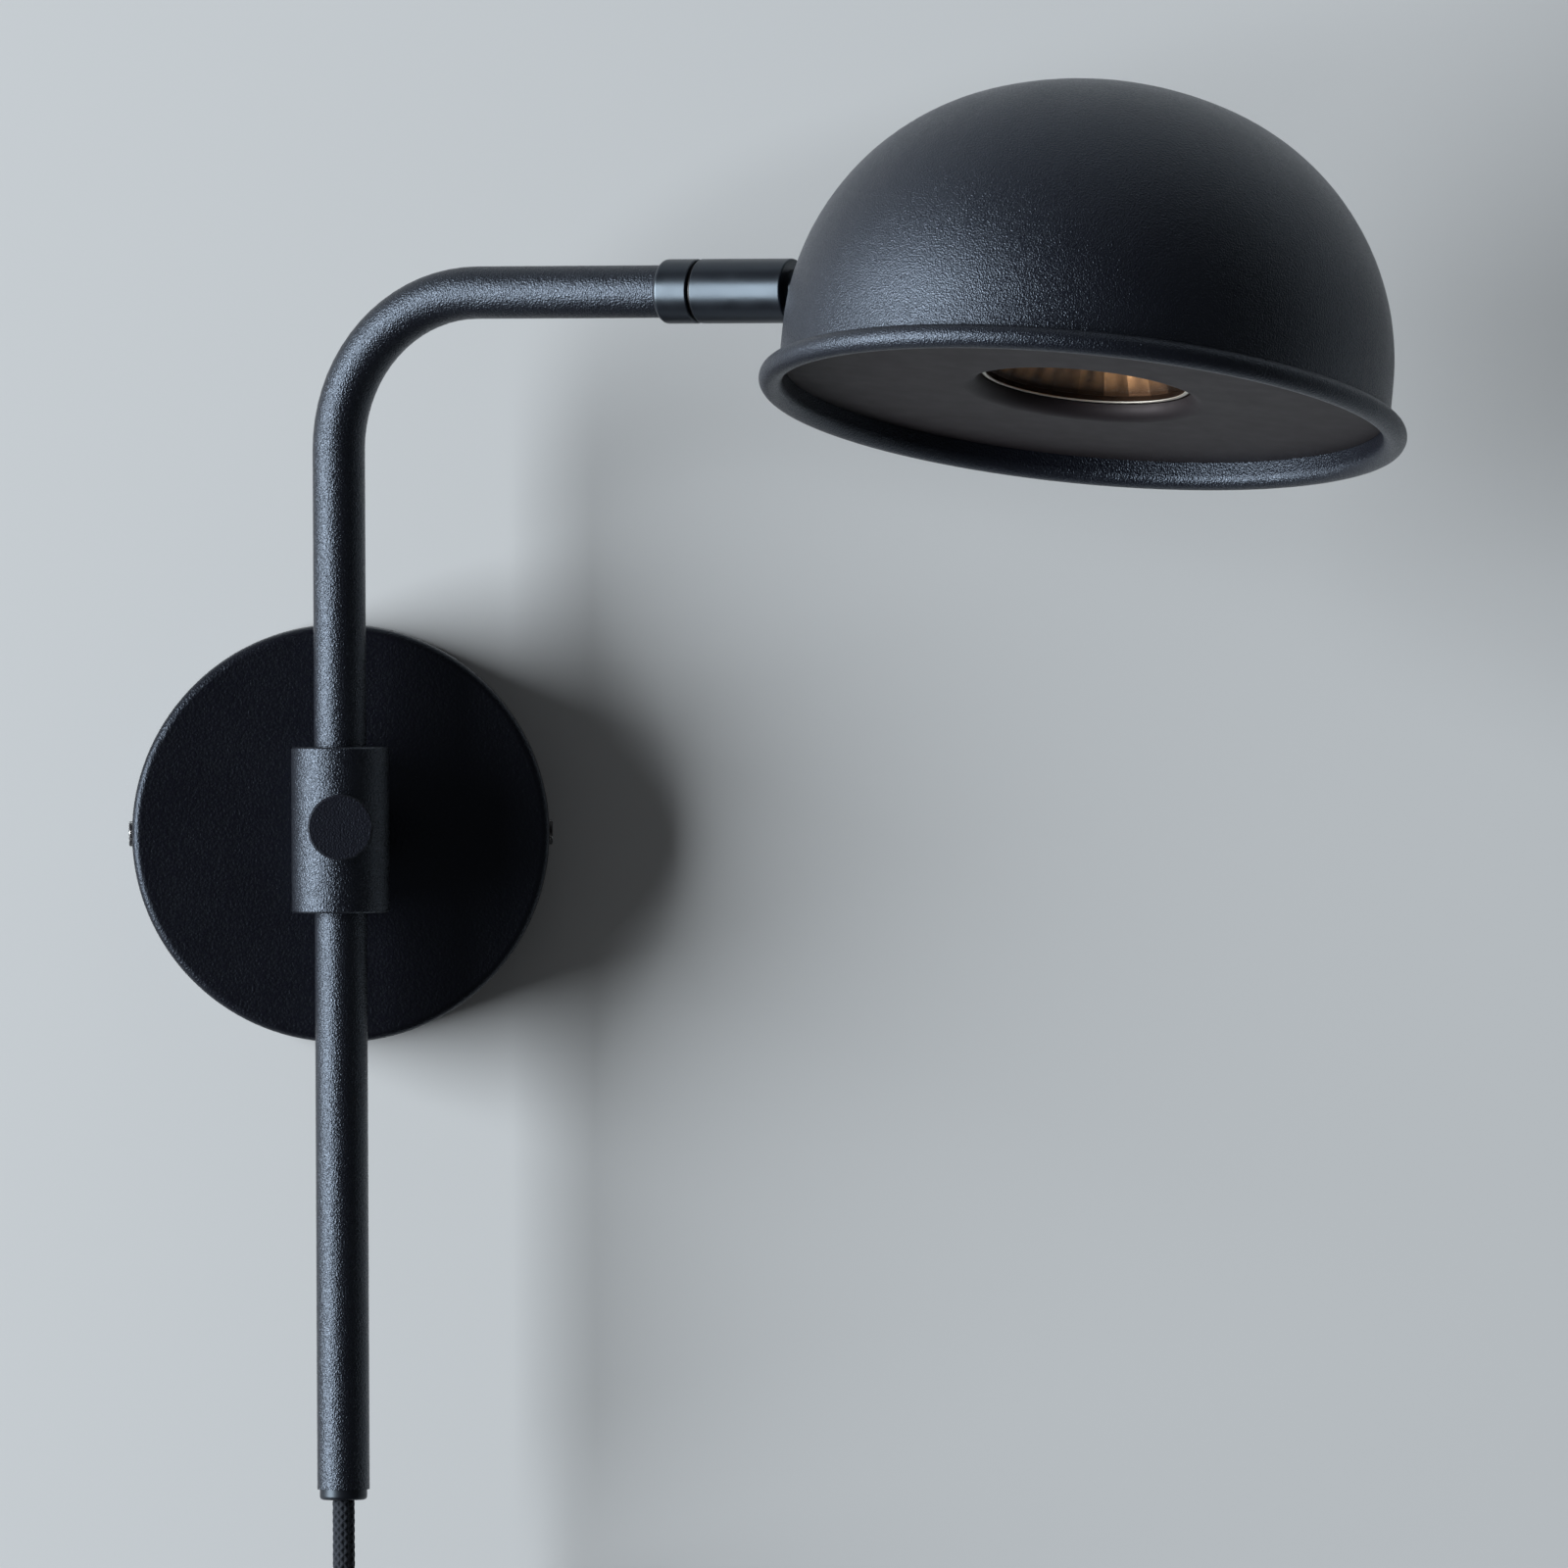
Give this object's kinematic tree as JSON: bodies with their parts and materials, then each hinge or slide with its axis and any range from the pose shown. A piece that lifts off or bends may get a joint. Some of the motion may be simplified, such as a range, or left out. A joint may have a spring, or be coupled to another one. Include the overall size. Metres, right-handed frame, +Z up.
{
  "type": "swing-arm wall lamp",
  "caption": "Plug-in wall lamp: a round canopy clamps a vertical tube that bends into an arm, with a dome shade that rolls on a swivel at its end.",
  "frame": {"origin": "centre of the wall bracket's back face, on the wall", "axes": "+X right along the wall, +Y into the wall, +Z up"},
  "size_m": [0.2998, 0.2114, 0.5764],
  "materials": {
    "powder_coat": "fine-textured blue-black powder coat",
    "satin_paint": "smooth satin black paint",
    "pan_paint": "smooth matte dark grey paint",
    "plated_steel": "zinc-plated steel",
    "nylon": "natural nylon",
    "cap_plastic": "black moulded plastic",
    "cord_textile": "black braided textile sleeve",
    "cord_sheath": "soft black sheath",
    "switch_plastic": "black moulded plastic, low gloss",
    "bright_pins": "nickel-plated brass",
    "bronze_reflector": "faceted bronze-tinted reflector",
    "lamp_glass": "clear glass",
    "ceramic": "unglazed white ceramic"
  },
  "bodies": {
    "wall_mount": {"wall_bracket": "plated_steel", "canopy": "powder_coat", "canopy_side_screws": "powder_coat", "canopy_stiffener": "plated_steel", "clamp_sleeve": "powder_coat", "clamp_standoff": "powder_coat", "clamp_screw": "plated_steel", "clamp_washer": "plated_steel", "clamp_nut": "plated_steel"},
    "liner": {"clamp_liner": "nylon"},
    "pad": {"pressure_pad": "nylon"},
    "knob": {"knob_stud": "plated_steel", "clamp_knob": "satin_paint"},
    "arm": {"arm_tube": "powder_coat", "tube_end_cap": "cap_plastic", "cord_grip": "cord_sheath", "arm_lead": "cord_textile", "swivel_collar": "satin_paint", "swivel_nipple": "plated_steel", "stop_pin": "plated_steel", "swivel_washer": "nylon", "spring_washer": "plated_steel", "nipple_nut": "plated_steel", "nipple_lead": "cord_sheath", "switch_front": "switch_plastic", "switch_rear": "switch_plastic", "switch_screws": "plated_steel", "switch_reliefs": "cord_sheath", "cord_lead": "cord_textile", "cord_coil": "cord_textile", "coil_tie": "cap_plastic", "plug_body": "switch_plastic", "plug_strain_relief": "cord_sheath", "plug_pins": "bright_pins"},
    "rocker": {"switch_rocker": "switch_plastic"},
    "shade": {"swivel_barrel": "satin_paint", "shade_neck": "satin_paint", "shade": "powder_coat", "saddle_washer": "plated_steel", "neck_nut": "plated_steel", "baffle_pan": "pan_paint", "baffle_clips": "plated_steel", "lamp_reflector": "bronze_reflector", "lamp_glass": "lamp_glass", "lamp_capsule": "lamp_glass", "lamp_base": "ceramic", "lamp_pins": "bright_pins", "lampholder": "ceramic", "lamp_yoke": "plated_steel", "holder_screws": "plated_steel", "head_lead": "cord_sheath"}
  },
  "joints": [
    {"name": "arm_swing", "type": "hinge", "parent": "wall_mount", "child": "liner", "pos_m": [0, -0.041, 0], "axis": [0, 0, -1], "range_deg": [-14, 140]},
    {"name": "arm_lift", "type": "slide", "parent": "liner", "child": "arm", "axis": [0, 0, 1], "range_m": [-0.066, 0.12]},
    {"name": "pad_press", "type": "slide", "parent": "wall_mount", "child": "pad", "axis": [0, -1, 0], "range_m": [0, 0.0008001]},
    {"name": "knob_turn", "type": "hinge", "parent": "pad", "child": "knob", "pos_m": [0, -0.055, 0.002], "axis": [0, -1, 0], "range_deg": [0, 360]},
    {"name": "shade_roll", "type": "hinge", "parent": "arm", "child": "shade", "pos_m": [0.0891, -0.0864, 0.128], "axis": [0.891, -0.454, 0], "range_deg": [-151.7, 178.3]},
    {"name": "switch_rock", "type": "hinge", "parent": "arm", "child": "rocker", "pos_m": [0, -0.0454, -0.2163], "axis": [1, 0, 0], "range_deg": [-14, 0]}
  ],
  "couplings": [
    {"joint": "pad_press", "follows": "knob_turn", "m_per_rad": 0.00012732}
  ]
}
